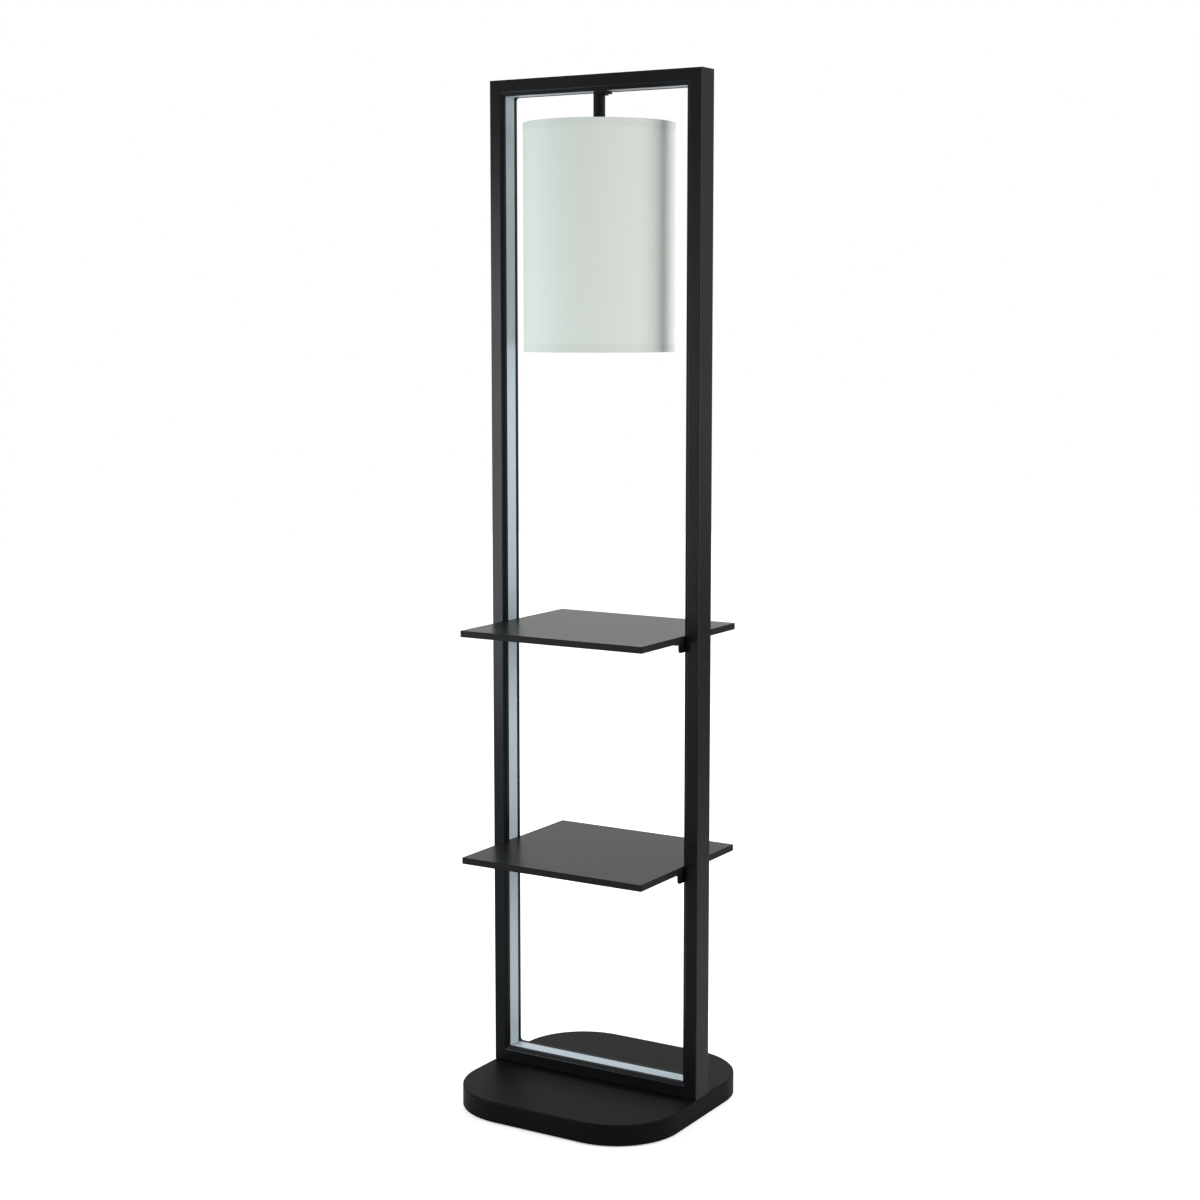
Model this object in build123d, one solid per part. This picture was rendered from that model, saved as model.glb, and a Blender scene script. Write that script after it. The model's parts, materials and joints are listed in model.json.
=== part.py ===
from build123d import *
import math
import os

# Shelf floor lamp. Millimetres, +Z up, origin on the floor under the middle of the base.
# The lamp's front faces -Y, its left post stands at -X and its right post at +X.

# --- frame of rectangular steel tube -------------------------------------------------
frame_width = 370.0          # outside, post to post; the base is flush with it
frame_height = 1553.0        # from the top of the base to the top of the lamp
tube_depth = 40.0            # front to back
tube_face = 20.0             # width of the face seen from the front
tube_wall = 1.2
tube_edge_radius = 1.5
least_radius = 0.3           # least radius of the tube's bore

# --- light channel inside the frame --------------------------------------------------
channel_width = 38.0
channel_height = 4.5         # how far it stands in from the tube
channel_web = 1.0
channel_slot = 24.0          # width of the milky cover
channel_front_bevel = 2.0
rear_lip_radius = 5.0        # the rear lip is rounded in the frame's four corners
cover_wall = 1.2
cover_recess = 0.3
cover_side_gap = 0.1
strip_width = 10.0
strip_thickness = 0.5
strip_end_gap = 12.0
led_length = 5.0
led_width = 5.0
led_height = 0.8
led_pitch = 33.0

# --- base ----------------------------------------------------------------------------
base_depth = 370.0
base_corner_radius = 107.0
base_height = 34.0
base_top_edge_radius = 2.0
base_sheet = 1.5
pad_height = 2.0
pad_radius = 15.0
pad_inset = 80.0             # pad centres, in from the base's sides
bottom_sheet = 2.0
bottom_sheet_gap = 0.5
weight_thickness = 8.0
weight_clearance = 10.0      # ballast edge to the bosses
weight_bolt_inset = 55.0     # in from the ballast's edges
bar_inset = 25.0             # stiffening bar's ends, in from the base's sides
bar_width = 56.0
bar_thickness = 4.0
boss_radius = 5.0
boss_side_inset = 25.0       # boss centres, in from the base's sides
boss_side_y = 70.0
cord_hole_radius = 3.6
cord_height = 18.0
bushing_wall = 2.4
bushing_flange = 2.0
bushing_flange_radius = 9.0
bushing_length = 12.0
driver_length = 150.0
driver_width = 42.0
driver_height = 18.0
driver_x = 40.0
driver_rear_gap = 29.0       # driver to the ballast's rear edge
driver_edge_radius = 3.0
driver_edge_chamfer = 1.0
terminal_length = 34.0
terminal_width = 18.0
terminal_height = 14.0
terminal_x = -80.0
lead_radius = 2.0
lead_exit_run = 18.0
lead_end_height = 10.0       # above the bottom of the lampholder's cap
lead_bends = (14.0, 20.0, 10.0, 20.0)
led_lead_radius = 1.5
led_lead_x = -95.0
led_lead_inset = 20.0        # where it leaves the driver, in from the driver's end
led_lead_exit_run = 24.0
led_lead_bends = (12.0, 6.0)

# --- shelves and their brackets ------------------------------------------------------
shelf_depth = 292.0
shelf_thickness = 10.0
shelf_side_gap = 0.5
shelf_corner_radius = 1.5
shelf_edge_chamfer = 0.6
upper_shelf_top = 752.0
lower_shelf_top = 398.0
bracket_sheet = 2.0
bracket_length = 68.0
bracket_drop = 14.5
bracket_reach = 20.0
bracket_corner_radius = 5.0
bracket_bend_radius = 2.0
bracket_screw_drop = 8.0     # screw line below the shelf
shelf_screw_inset = 10.5     # screw line in from the bracket's back
shelf_screw_y = 25.0

# --- hanger, lampholder and bulb -----------------------------------------------------
hanger_plate_thickness = 4.0
hanger_plate_reach = 17.0    # plate end to the right of the tube's axis
hanger_screw_x = 12.5
hanger_tube_radius = 9.0
hanger_tube_wall = 1.5
hanger_tube_length = 68.0
pipe_radius = 5.0            # threaded pipe through the hanger
pipe_bore_radius = 3.5
pipe_beyond_nut = 1.0        # above the nut in the top rail
pipe_beyond_cap = 2.0        # below the top of the lampholder's cap
hanger_nut_radius = 8.0
hanger_nut_height = 4.0
holder_cap_radius = 20.5
holder_cap_height = 24.0
holder_cap_wall = 1.5
holder_cap_top = 3.0
holder_cap_edge_radius = 5.0
holder_neck_height = 8.0
holder_body_radius = 19.0
holder_upper_height = 18.0
holder_flange_radius = 23.0
holder_flange_height = 3.0
holder_skirt_height = 18.0
holder_floor = 4.0
shell_wall = 0.6
shell_length = 28.0
contact_radius = 3.0
contact_height = 2.5
contact_gap = 2.5            # bare ring of the floor between the contact and the shell
shade_nut_radius = 25.0
shade_nut_height = 10.0
shade_nut_notches = 12
shade_nut_notch_radius = 1.2
knob_radius = 7.0
knob_length = 11.0
knob_stem_radius = 2.5
knob_disc_share = 0.35       # part of the knob's length that is its round disc
knob_grip_width = 5.0
knob_grip_step = 0.5         # the grip stands in from the disc's rim
knob_grip_edge_radius = 2.0
stem_wall = 1.0              # left between the stem's hole and the bulb's bore
bulb_cap_radius = 13.0
bulb_cap_length = 24.0
bulb_cap_wall = 0.5
bulb_tip_radius = 4.5
bulb_tip_height = 2.0
bulb_neck_radius = 12.4
bulb_neck_in_cap = 22.0      # length of the glass neck inside the metal cap
bulb_neck_below_cap = 8.0
bulb_radius = 30.0
bulb_length = 108.0          # contact to the far end of the glass
bulb_wall = 1.0

# --- drum shade ----------------------------------------------------------------------
shade_radius = 115.0
shade_height = 340.0
shade_top = 1515.0
shade_wall = 0.8
wire_radius = 1.5
ring_edge_inset = 2.5        # wire centre in from the shade's edge
spider_arms = 3
spider_first_angle = 60.0
spider_arm_radius = 1.2
spider_sheet = 1.5
spider_washer_radius = 28.0

# --- fasteners and clearances --------------------------------------------------------
m4_radius = 2.0
m4_head_radius = 3.4
m4_head_height = 2.4
m4_socket_radius = 1.45      # to the corners of the hexagon socket
m6_radius = 3.0
m6_head_radius = 5.0
m6_head_height = 4.5
m6_socket_radius = 2.9
head_edge_radius = 0.7
socket_share = 0.55          # depth of the socket, as a share of the head's height
m6_nut_radius = 5.8
m6_nut_height = 5.0
m6_washer_radius = 6.5
m6_washer_height = 1.5
bolt_end_inset = 55.0        # outer frame bolts, in from the frame's sides
bolt_inner_x = 60.0
base_screw_length = 14.0
shelf_screw_length = 9.0
screw_beyond_nut = 1.5       # thread that shows past a nut or a tapped wall
head_floor_gap = 0.4         # screw heads under the base end this far above the floor
blind_end = 1.0              # hole left beyond a screw's tip
hole_clearance = 0.3         # round a screw or a lead that passes through
thread_clearance = 0.05      # between a thread and what it is screwed into
slip_clearance = 0.06        # running fits of the knob, the shade nut and the bulb
skin_clearance = 0.2         # shade cloth over its wires
axial_gap = 0.2              # flat faces of pieces that turn past each other
cut_past = 1.0               # how far a cut runs past the faces it opens

# --- worked out from the sizes above -------------------------------------------------
half_width = frame_width / 2
half_depth = base_depth / 2
bolt_outer_x = half_width - bolt_end_inset
frame_bolt_x = (-bolt_outer_x, -bolt_inner_x, bolt_inner_x, bolt_outer_x)
weight_inset = boss_side_inset + boss_radius + weight_clearance
weight_half_width = half_width - weight_inset
weight_half_depth = half_depth - weight_inset
driver_y = weight_half_depth - driver_rear_gap - driver_width / 2
lamp_top = base_height + frame_height
frame_middle = base_height + frame_height / 2
inner_half = half_width - tube_face - channel_height
soffit = lamp_top - tube_face - channel_height
post_screw_y = (channel_width + channel_slot) / 4
lamp_lead_x = -half_width + tube_face / 2 + tube_wall
led_lead_top = base_height + tube_face + channel_web
base_ceiling = base_height - base_sheet
bottom_top = pad_height + bottom_sheet
weight_top = bottom_top + weight_thickness
bar_underside = base_ceiling - bar_thickness
rail_floor = lamp_top - tube_face + tube_wall
hanger_nut_top = rail_floor + hanger_nut_height
pipe_top = hanger_nut_top + pipe_beyond_nut
plate_underside = soffit - hanger_plate_thickness
tube_bottom = plate_underside - hanger_tube_length
cap_bottom = tube_bottom - holder_cap_height
flange_top = cap_bottom - holder_upper_height
flange_bottom = flange_top - holder_flange_height
holder_bottom = flange_bottom - holder_skirt_height
shell_inner_radius = bulb_cap_radius + slip_clearance
shell_outer_radius = shell_inner_radius + shell_wall
holder_bore_radius = shell_outer_radius + thread_clearance
holder_bore_top = cap_bottom - holder_floor
contact_bottom = holder_bore_top - contact_height
bulb_tip = contact_bottom - axial_gap
bulb_shoulder = bulb_tip - bulb_tip_height
knob_z = cap_bottom - holder_upper_height / 2
stem_hole_end = holder_bore_radius + stem_wall
knob_grip_half = knob_radius - knob_grip_step
shade_bottom = shade_top - shade_height
wire_ring_radius = shade_radius - shade_wall - skin_clearance - wire_radius
top_ring_z = shade_top - ring_edge_inset


def cylinder_up(radius, low, high, x=0.0, y=0.0):
    """Upright cylinder between two heights."""
    return Pos(x, y, (low + high) / 2) * Cylinder(radius, high - low)


def cylinder_along_x(radius, start, end, y=0.0, z=0.0):
    """Cylinder along X between two places."""
    return Pos((start + end) / 2, y, z) * Rot(0, 90, 0) * Cylinder(radius, abs(end - start))


def cylinder_along_y(radius, start, end, x=0.0, z=0.0):
    """Cylinder along Y between two places."""
    return Pos(x, (start + end) / 2, z) * Rot(90, 0, 0) * Cylinder(radius, abs(end - start))


def rounded_slab(width, depth, radius, low, high):
    """Flat slab with rounded corners, middle on the Z axis."""
    corner = min(radius, 0.499 * min(width, depth))
    return Pos(0, 0, low) * extrude(RectangleRounded(width, depth, corner), high - low)


def frame_side(name, inset):
    """Plane and length of one side of the frame, inset from its outside.

    The plane's X runs along the side, Y to the back and Z into the frame.
    """
    long_side = frame_height - 2 * inset
    short_side = frame_width - 2 * inset
    if name == "left":
        return Plane(Vector(-half_width + inset, 0, frame_middle), (0, 0, -1), (1, 0, 0)), long_side
    if name == "right":
        return Plane(Vector(half_width - inset, 0, frame_middle), (0, 0, 1), (-1, 0, 0)), long_side
    if name == "top":
        return Plane(Vector(0, 0, lamp_top - inset), (-1, 0, 0), (0, 0, -1)), short_side
    return Plane(Vector(0, 0, base_height + inset), (1, 0, 0), (0, 0, 1)), short_side


def mitre_block(length, depth):
    """Block with 45 degree ends: its full length at the bottom, shorter further in."""
    half = length / 2
    outline = Polyline((-half, 0), (half, 0), (half - depth, depth), (-half + depth, depth), close=True)
    return extrude(make_face(Plane.XZ * outline), tube_depth, both=True)


def bar_along_x(section, length):
    """Section drawn as (depth, inward) and run along X."""
    return extrude(Plane.YZ * section, length / 2, both=True)


def frame_tube(name):
    plane, length = frame_side(name, 0.0)
    bore_radius = max(tube_edge_radius - tube_wall, least_radius)
    outside = RectangleRounded(tube_depth, tube_face, tube_edge_radius)
    bore = RectangleRounded(tube_depth - 2 * tube_wall, tube_face - 2 * tube_wall, bore_radius)
    section = Pos(0, tube_face / 2) * (outside - bore)
    tube = bar_along_x(section, length) & mitre_block(length, tube_face)
    return plane * tube


def channel_section():
    """Channel with a bevelled front lip, a slot for the cover and a square rear lip."""
    half = channel_width / 2
    outline = Polyline(
        (-half, 0),
        (half, 0),
        (half, channel_height),
        (-half + channel_front_bevel, channel_height),
        close=True,
    )
    slot_height = channel_height - channel_web
    slot = Pos(0, channel_web + slot_height / 2) * Rectangle(channel_slot, slot_height)
    return make_face(outline) - slot


def rear_lip_corner(length, side):
    """Rounded filling of the rear lip where two channels meet."""
    lip_start = channel_slot / 2
    lip_end = channel_width / 2
    corner_x = length / 2 - channel_height
    square = Pos(corner_x - rear_lip_radius / 2, channel_height + rear_lip_radius / 2) * Rectangle(
        rear_lip_radius, rear_lip_radius)
    arc = Pos(corner_x - rear_lip_radius, channel_height + rear_lip_radius) * Circle(rear_lip_radius)
    filling = extrude(Plane.XZ * (square - arc), lip_end - lip_start)
    filling = Pos(0, lip_end, 0) * filling
    return filling if side > 0 else mirror(filling, about=Plane.YZ)


def light_channel(name):
    plane, length = frame_side(name, tube_face)
    channel = bar_along_x(channel_section(), length)
    channel += rear_lip_corner(length, 1)
    channel += rear_lip_corner(length, -1)
    return plane * (channel & mitre_block(length, channel_height + rear_lip_radius))


def channel_cover(name):
    """Milky cover, a flat U pushed into the channel's slot."""
    plane, length = frame_side(name, tube_face)
    width = channel_slot - 2 * cover_side_gap
    top = channel_height - cover_recess
    body = Pos(0, (channel_web + top) / 2) * Rectangle(width, top - channel_web)
    inside_top = top - cover_wall
    inside_width = width - 2 * cover_wall
    hollow = Pos(0, (channel_web + inside_top) / 2) * Rectangle(inside_width, inside_top - channel_web)
    cover = bar_along_x(body - hollow, length) & mitre_block(length, channel_height)
    return plane * cover


def strip_run(start, end):
    """Light strip between two places along a side, with its LEDs."""
    middle = (start + end) / 2
    run = end - start
    strip = Pos(middle, 0, channel_web + strip_thickness / 2) * Box(run, strip_width, strip_thickness)
    count = max(int(run // led_pitch), 1)
    first = middle - (count - 1) * led_pitch / 2
    led_z = channel_web + strip_thickness + led_height / 2
    for number in range(count):
        strip += Pos(first + number * led_pitch, 0, led_z) * Box(led_length, led_width, led_height)
    return strip


def light_strip(name):
    plane, length = frame_side(name, tube_face)
    end = length / 2 - strip_end_gap
    if name != "top":
        return plane * strip_run(-end, end)
    hanger_room = hanger_plate_reach + hole_clearance
    return plane * Compound(children=[strip_run(-end, -hanger_room), strip_run(hanger_room, end)])


def frame_bottom_holes():
    """Holes for the frame bolts and the two leads, through the rail and the top of the base."""
    low = bar_underside - cut_past
    high = base_height + tube_wall + cut_past
    holes = [cylinder_up(m6_radius + hole_clearance, low, high, x) for x in frame_bolt_x]
    holes.append(cylinder_up(lead_radius + hole_clearance, low, high, lamp_lead_x))
    holes.append(cylinder_up(led_lead_radius + hole_clearance, low, led_lead_top, led_lead_x))
    return holes


def hanger_holes():
    """Holes through the top rail, its channel and its cover for the pipe and the plate screw."""
    low = soffit - cut_past
    high = rail_floor + cut_past
    return [
        cylinder_up(pipe_radius + hole_clearance, low, high),
        cylinder_up(m4_radius + thread_clearance, low, high, hanger_screw_x),
    ]


def shelf_tops():
    return {"upper": upper_shelf_top, "lower": lower_shelf_top}


def bracket_screw_places():
    """Places of the screws that hold one side's brackets: height and depth."""
    places = []
    for top in shelf_tops().values():
        for y in (-post_screw_y, post_screw_y):
            places.append((top - shelf_thickness - bracket_screw_drop, y))
    return places


def post_screw_holes(side):
    start = side * (inner_half - cut_past)
    end = side * (inner_half + channel_height + tube_wall + cut_past)
    return [
        cylinder_along_x(m4_radius + thread_clearance, start, end, y, z)
        for z, y in bracket_screw_places()
    ]


def cut(shape, tools):
    for tool in tools:
        shape = shape - tool
    return shape


def frame_parts():
    parts = {
        "frame_left_post": cut(frame_tube("left"), post_screw_holes(-1)),
        "frame_right_post": cut(frame_tube("right"), post_screw_holes(1)),
        "frame_top_rail": cut(frame_tube("top"), hanger_holes()),
        "frame_bottom_rail": cut(frame_tube("bottom"), frame_bottom_holes()),
        "led_channel_left": cut(light_channel("left"), post_screw_holes(-1)),
        "led_channel_right": cut(light_channel("right"), post_screw_holes(1)),
        "led_channel_top": cut(light_channel("top"), hanger_holes()),
        "led_channel_bottom": cut(light_channel("bottom"), frame_bottom_holes()),
    }
    for name in ("left", "right", "top", "bottom"):
        cover = channel_cover(name)
        parts["led_cover_" + name] = cut(cover, hanger_holes()) if name == "top" else cover
        parts["led_strip_" + name] = light_strip(name)
    return parts


def socket_screw(radius, head_radius, head_height, socket_radius, length):
    """Screw pointing up from Z = 0, with its head below and a hexagon socket in the head."""
    head = cylinder_up(head_radius, -head_height, 0)
    head = fillet(head.edges().group_by(Axis.Z)[0], head_edge_radius)
    socket = extrude(RegularPolygon(socket_radius, 6), socket_share * head_height)
    return head - Pos(0, 0, -head_height) * socket + cylinder_up(radius, 0, length)


def m4_screw(length, head_height=m4_head_height):
    return socket_screw(m4_radius, m4_head_radius, head_height, m4_socket_radius, length)


def m6_bolt(length):
    return socket_screw(m6_radius, m6_head_radius, m6_head_height, m6_socket_radius, length)


def boss_places():
    side_x = half_width - boss_side_inset
    end_y = half_depth - boss_side_inset
    places = [(sx * side_x, sy * boss_side_y) for sx in (-1, 1) for sy in (-1, 1)]
    return places + [(0, end_y), (0, -end_y)]


def base_cover():
    """Pressed steel cover: top, sides and the bosses that the bottom sheet is screwed to."""
    outside = rounded_slab(frame_width, base_depth, base_corner_radius, pad_height, base_height)
    outside = fillet(outside.edges().group_by(Axis.Z)[-1], base_top_edge_radius)
    inside = rounded_slab(
        frame_width - 2 * base_sheet,
        base_depth - 2 * base_sheet,
        base_corner_radius - base_sheet,
        pad_height,
        base_ceiling,
    )
    cover = outside - inside
    for x, y in boss_places():
        cover += cylinder_up(boss_radius, bottom_top, base_ceiling, x, y)
        hole_end = pad_height + base_screw_length + blind_end
        cover -= cylinder_up(m4_radius + thread_clearance, bottom_top - cut_past, hole_end, x, y)
    rear = half_depth
    sleeve = cord_hole_radius + bushing_wall + thread_clearance
    cover -= cylinder_along_y(sleeve, rear - base_sheet - cut_past, rear + cut_past, 0, cord_height)
    return cut(cover, frame_bottom_holes())


def base_bottom_sheet():
    gap = 2 * (base_sheet + bottom_sheet_gap)
    radius = base_corner_radius - gap / 2
    sheet = rounded_slab(frame_width - gap, base_depth - gap, radius, pad_height, bottom_top)
    for x, y in boss_places():
        sheet -= cylinder_up(m4_radius + hole_clearance, 0, base_height, x, y)
    for x, y in weight_bolt_places():
        sheet -= cylinder_up(m4_radius + hole_clearance, 0, base_height, x, y)
    return sheet


def weight_bolt_places():
    x = weight_half_width - weight_bolt_inset
    y = weight_half_depth - weight_bolt_inset
    return [(sx * x, sy * y) for sx in (-1, 1) for sy in (-1, 1)]


def base_weight():
    """Cast ballast plate on the bottom sheet."""
    corner = base_corner_radius - weight_inset
    weight = rounded_slab(2 * weight_half_width, 2 * weight_half_depth, corner, bottom_top, weight_top)
    return cut(weight, [
        cylinder_up(m4_radius + thread_clearance, 0, weight_top + cut_past, x, y)
        for x, y in weight_bolt_places()
    ])


def base_screws():
    screw = m4_screw(base_screw_length, pad_height - head_floor_gap)
    return [Pos(x, y, pad_height) * screw for x, y in boss_places()]


def weight_screws():
    length = bottom_sheet + weight_thickness - blind_end
    screw = m4_screw(length, pad_height - head_floor_gap)
    return [Pos(x, y, pad_height) * screw for x, y in weight_bolt_places()]


def base_pads():
    x = half_width - pad_inset
    y = half_depth - pad_inset
    return [cylinder_up(pad_radius, 0, pad_height, sx * x, sy * y) for sx in (-1, 1) for sy in (-1, 1)]


def stiffening_bar():
    """Bar under the top of the base that spreads the pull of the frame bolts."""
    length = 2 * (half_width - bar_inset)
    bar = Pos(0, 0, (bar_underside + base_ceiling) / 2) * Box(length, bar_width, bar_thickness)
    return cut(bar, frame_bottom_holes())


def frame_bolts():
    seat = bar_underside - m6_washer_height
    tip = base_height + tube_wall + m6_nut_height + screw_beyond_nut
    return [Pos(x, 0, seat) * m6_bolt(tip - seat) for x in frame_bolt_x]


def frame_washers():
    low = bar_underside - m6_washer_height
    return [
        cylinder_up(m6_washer_radius, low, bar_underside, x)
        - cylinder_up(m6_radius + hole_clearance, low - cut_past, bar_underside + cut_past, x)
        for x in frame_bolt_x
    ]


def hex_nut(radius, bore, low, high, x=0.0):
    nut = Pos(x, 0, low) * extrude(RegularPolygon(radius, 6), high - low)
    return nut - cylinder_up(bore, low - cut_past, high + cut_past, x)


def frame_nuts():
    low = base_height + tube_wall
    return [
        hex_nut(m6_nut_radius, m6_radius + thread_clearance, low, low + m6_nut_height, x)
        for x in frame_bolt_x
    ]


def cord_bushing():
    """Rubber bushing that the mains cord comes in through; its sleeve ends flush outside."""
    rear = half_depth
    wall = rear - base_sheet
    sleeve = cylinder_along_y(cord_hole_radius + bushing_wall, rear - bushing_length, rear, 0, cord_height)
    flange = cylinder_along_y(bushing_flange_radius, wall - bushing_flange, wall, 0, cord_height)
    inner_end = rear - bushing_length
    hole = cylinder_along_y(cord_hole_radius, inner_end - cut_past, rear + cut_past, 0, cord_height)
    return sleeve + flange - hole


def led_driver():
    body = Pos(driver_x, driver_y, weight_top + driver_height / 2) * Box(
        driver_length, driver_width, driver_height)
    body = fillet(body.edges().filter_by(Axis.Z), driver_edge_radius)
    return chamfer(body.edges().group_by(Axis.Z)[-1], driver_edge_chamfer)


def terminal_block():
    return Pos(terminal_x, driver_y, weight_top + terminal_height / 2) * Box(
        terminal_length, terminal_width, terminal_height)


def swept_lead(radius, points, radii):
    """Round lead along straight runs joined by arcs."""
    path = FilletPolyline(*points, radius=radii)
    start = Plane(path @ 0, z_dir=path % 0)
    lead = sweep(start * Circle(radius), path=path)
    expected = math.pi * radius**2 * path.length
    print("lead volume", round(lead.volume, 1), "expected", round(expected, 1), "bends", radii)
    return lead


def lamp_lead():
    """Lead from the terminal block up the left post, along the top rail and down to the bulb."""
    x = lamp_lead_x
    z = weight_top + terminal_height / 2
    rail_z = lamp_top - tube_wall - 2 * lead_radius
    start_x = terminal_x - terminal_length / 2
    points = [
        (start_x, driver_y, z),
        (start_x - lead_exit_run, driver_y, z),
        (x, driver_y / 2, z),
        (x, 0, z),
        (x, 0, rail_z),
        (0, 0, rail_z),
        (0, 0, cap_bottom + lead_end_height),
    ]
    last_bend = rail_z - pipe_top - axial_gap
    return swept_lead(lead_radius, points, [*lead_bends, last_bend])


def led_lead():
    """Lead from the driver up to the strip in the bottom channel."""
    z = weight_top + driver_height / 2
    y = driver_y - driver_width / 2
    start_x = driver_x - driver_length / 2 + led_lead_inset
    points = [
        (start_x, y, z),
        (start_x, y - led_lead_exit_run, z),
        (led_lead_x, 0, z),
        (led_lead_x, 0, led_lead_top),
    ]
    return swept_lead(led_lead_radius, points, list(led_lead_bends))


def base_parts():
    return {
        "base_cover": base_cover(),
        "base_bottom_sheet": base_bottom_sheet(),
        "base_weight": base_weight(),
        "base_stiffening_bar": stiffening_bar(),
        "base_pads": base_pads(),
        "base_screws": base_screws(),
        "weight_screws": weight_screws(),
        "frame_bolts": frame_bolts(),
        "frame_washers": frame_washers(),
        "frame_nuts": frame_nuts(),
        "cord_bushing": cord_bushing(),
        "led_driver": led_driver(),
        "terminal_block": terminal_block(),
        "lamp_lead": lamp_lead(),
        "led_lead": led_lead(),
    }


def shelf_screw_places():
    x = inner_half - shelf_screw_inset
    return [(sx * x, sy * shelf_screw_y) for sx in (-1, 1) for sy in (-1, 1)]


def shelf(top):
    """Board between the posts, held up by two brackets."""
    width = 2 * (inner_half - shelf_side_gap)
    board = rounded_slab(width, shelf_depth, shelf_corner_radius, top - shelf_thickness, top)
    board = chamfer(board.edges().group_by(Axis.Z)[-1], shelf_edge_chamfer)
    underside = top - shelf_thickness
    hole_end = underside - bracket_sheet + shelf_screw_length + blind_end / 2
    for x, y in shelf_screw_places():
        board -= cylinder_up(m4_radius + thread_clearance, underside - cut_past, hole_end, x, y)
    return board


def bracket(top, side):
    """Bent steel angle: one leg under the shelf, the other screwed to the post."""
    underside = top - shelf_thickness
    upright = Pos(-bracket_sheet / 2, 0, -bracket_drop / 2) * Box(bracket_sheet, bracket_length, bracket_drop)
    lower_corners = upright.edges().filter_by(Axis.X).group_by(Axis.Z)[0]
    upright = fillet(lower_corners, bracket_corner_radius)
    level = Pos(-bracket_reach / 2, 0, -bracket_sheet / 2) * Box(bracket_reach, bracket_length, bracket_sheet)
    angle = upright + level
    bend = angle.edges().filter_by(Axis.Y).group_by(Axis.Z)[-1].sort_by(Axis.X)[-1]
    angle = fillet(bend, bracket_bend_radius)
    hole = m4_radius + hole_clearance
    for y in (-post_screw_y, post_screw_y):
        angle -= cylinder_along_x(hole, -bracket_sheet - cut_past, cut_past, y, -bracket_screw_drop)
    for y in (-shelf_screw_y, shelf_screw_y):
        angle -= cylinder_up(hole, -bracket_sheet - cut_past, cut_past, -shelf_screw_inset, y)
    if side < 0:
        angle = mirror(angle, about=Plane.YZ)
    return Pos(side * inner_half, 0, underside) * angle


def bracket_screws():
    """Screws through the brackets into the tapped posts, pointing outwards."""
    screw = m4_screw(bracket_sheet + channel_height + tube_wall + screw_beyond_nut)
    screws = []
    for side in (-1, 1):
        seat = side * (inner_half - bracket_sheet)
        for z, y in bracket_screw_places():
            screws.append(Pos(seat, y, z) * Rot(0, side * 90, 0) * screw)
    return screws


def shelf_screws():
    screw = m4_screw(shelf_screw_length)
    screws = []
    for top in shelf_tops().values():
        seat = top - shelf_thickness - bracket_sheet
        screws += [Pos(x, y, seat) * screw for x, y in shelf_screw_places()]
    return screws


def shelf_parts():
    parts = {}
    for name, top in shelf_tops().items():
        parts[name + "_shelf"] = shelf(top)
        parts[name + "_left_bracket"] = bracket(top, -1)
        parts[name + "_right_bracket"] = bracket(top, 1)
    parts["bracket_screws"] = bracket_screws()
    parts["shelf_screws"] = shelf_screws()
    return parts


def hanger_plate():
    """Tongue under the top rail: round about the tube, square at its screwed end."""
    width = 2 * hanger_tube_radius
    square_end = Pos(hanger_plate_reach / 2, 0) * Rectangle(hanger_plate_reach, width)
    tongue = Circle(hanger_tube_radius) + square_end
    plate = Pos(0, 0, plate_underside) * extrude(tongue, hanger_plate_thickness)
    low = plate_underside - cut_past
    high = soffit + cut_past
    plate -= cylinder_up(pipe_radius + thread_clearance, low, high)
    return plate - cylinder_up(m4_radius + hole_clearance, low, high, hanger_screw_x)


def hanger_screw():
    length = hanger_plate_thickness + channel_height + tube_wall + screw_beyond_nut
    return Pos(hanger_screw_x, 0, plate_underside) * m4_screw(length)


def hanger_nut():
    return hex_nut(hanger_nut_radius, pipe_radius + thread_clearance, rail_floor, hanger_nut_top)


def threaded_pipe():
    """Threaded pipe that clamps the plate, the tube and the lampholder's cap to the rail."""
    low = tube_bottom - holder_cap_top - pipe_beyond_cap
    pipe = cylinder_up(pipe_radius, low, pipe_top)
    return pipe - cylinder_up(pipe_bore_radius, low - cut_past, pipe_top + cut_past)


def hanger_tube():
    tube = cylinder_up(hanger_tube_radius, tube_bottom, plate_underside)
    bore_radius = hanger_tube_radius - hanger_tube_wall
    return tube - cylinder_up(bore_radius, tube_bottom - cut_past, plate_underside + cut_past)


def lampholder_cap():
    cap = cylinder_up(holder_cap_radius, cap_bottom, tube_bottom)
    cap = fillet(cap.edges().group_by(Axis.Z)[-1], holder_cap_edge_radius)
    hollow_top = tube_bottom - holder_cap_top - holder_cap_wall
    cap -= cylinder_up(holder_cap_radius - holder_cap_wall, cap_bottom - cut_past, hollow_top)
    return cap - cylinder_up(pipe_radius + thread_clearance, cap_bottom, tube_bottom + cut_past)


def lampholder_body():
    """Insulating body: neck inside the cap, flange for the shade and a threaded skirt."""
    neck_radius = holder_cap_radius - holder_cap_wall - thread_clearance
    body = cylinder_up(neck_radius, cap_bottom, cap_bottom + holder_neck_height)
    body += cylinder_up(holder_cap_radius, flange_top, cap_bottom)
    body += cylinder_up(holder_flange_radius, flange_bottom, flange_top)
    body += cylinder_up(holder_body_radius, holder_bottom, flange_bottom)
    body -= cylinder_up(holder_bore_radius, holder_bottom - cut_past, holder_bore_top)
    stem = knob_stem_radius + slip_clearance
    return body - cylinder_along_x(stem, stem_hole_end, holder_cap_radius + cut_past, 0, knob_z)


def screw_shell():
    """Brass shell that the bulb screws into, hung from the lampholder's floor."""
    low = holder_bore_top - shell_length
    shell = cylinder_up(shell_outer_radius, low, holder_bore_top)
    shell -= cylinder_up(shell_inner_radius, low - cut_past, holder_bore_top - shell_wall)
    return shell - cylinder_up(contact_radius + contact_gap, low, holder_bore_top + cut_past)


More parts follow.
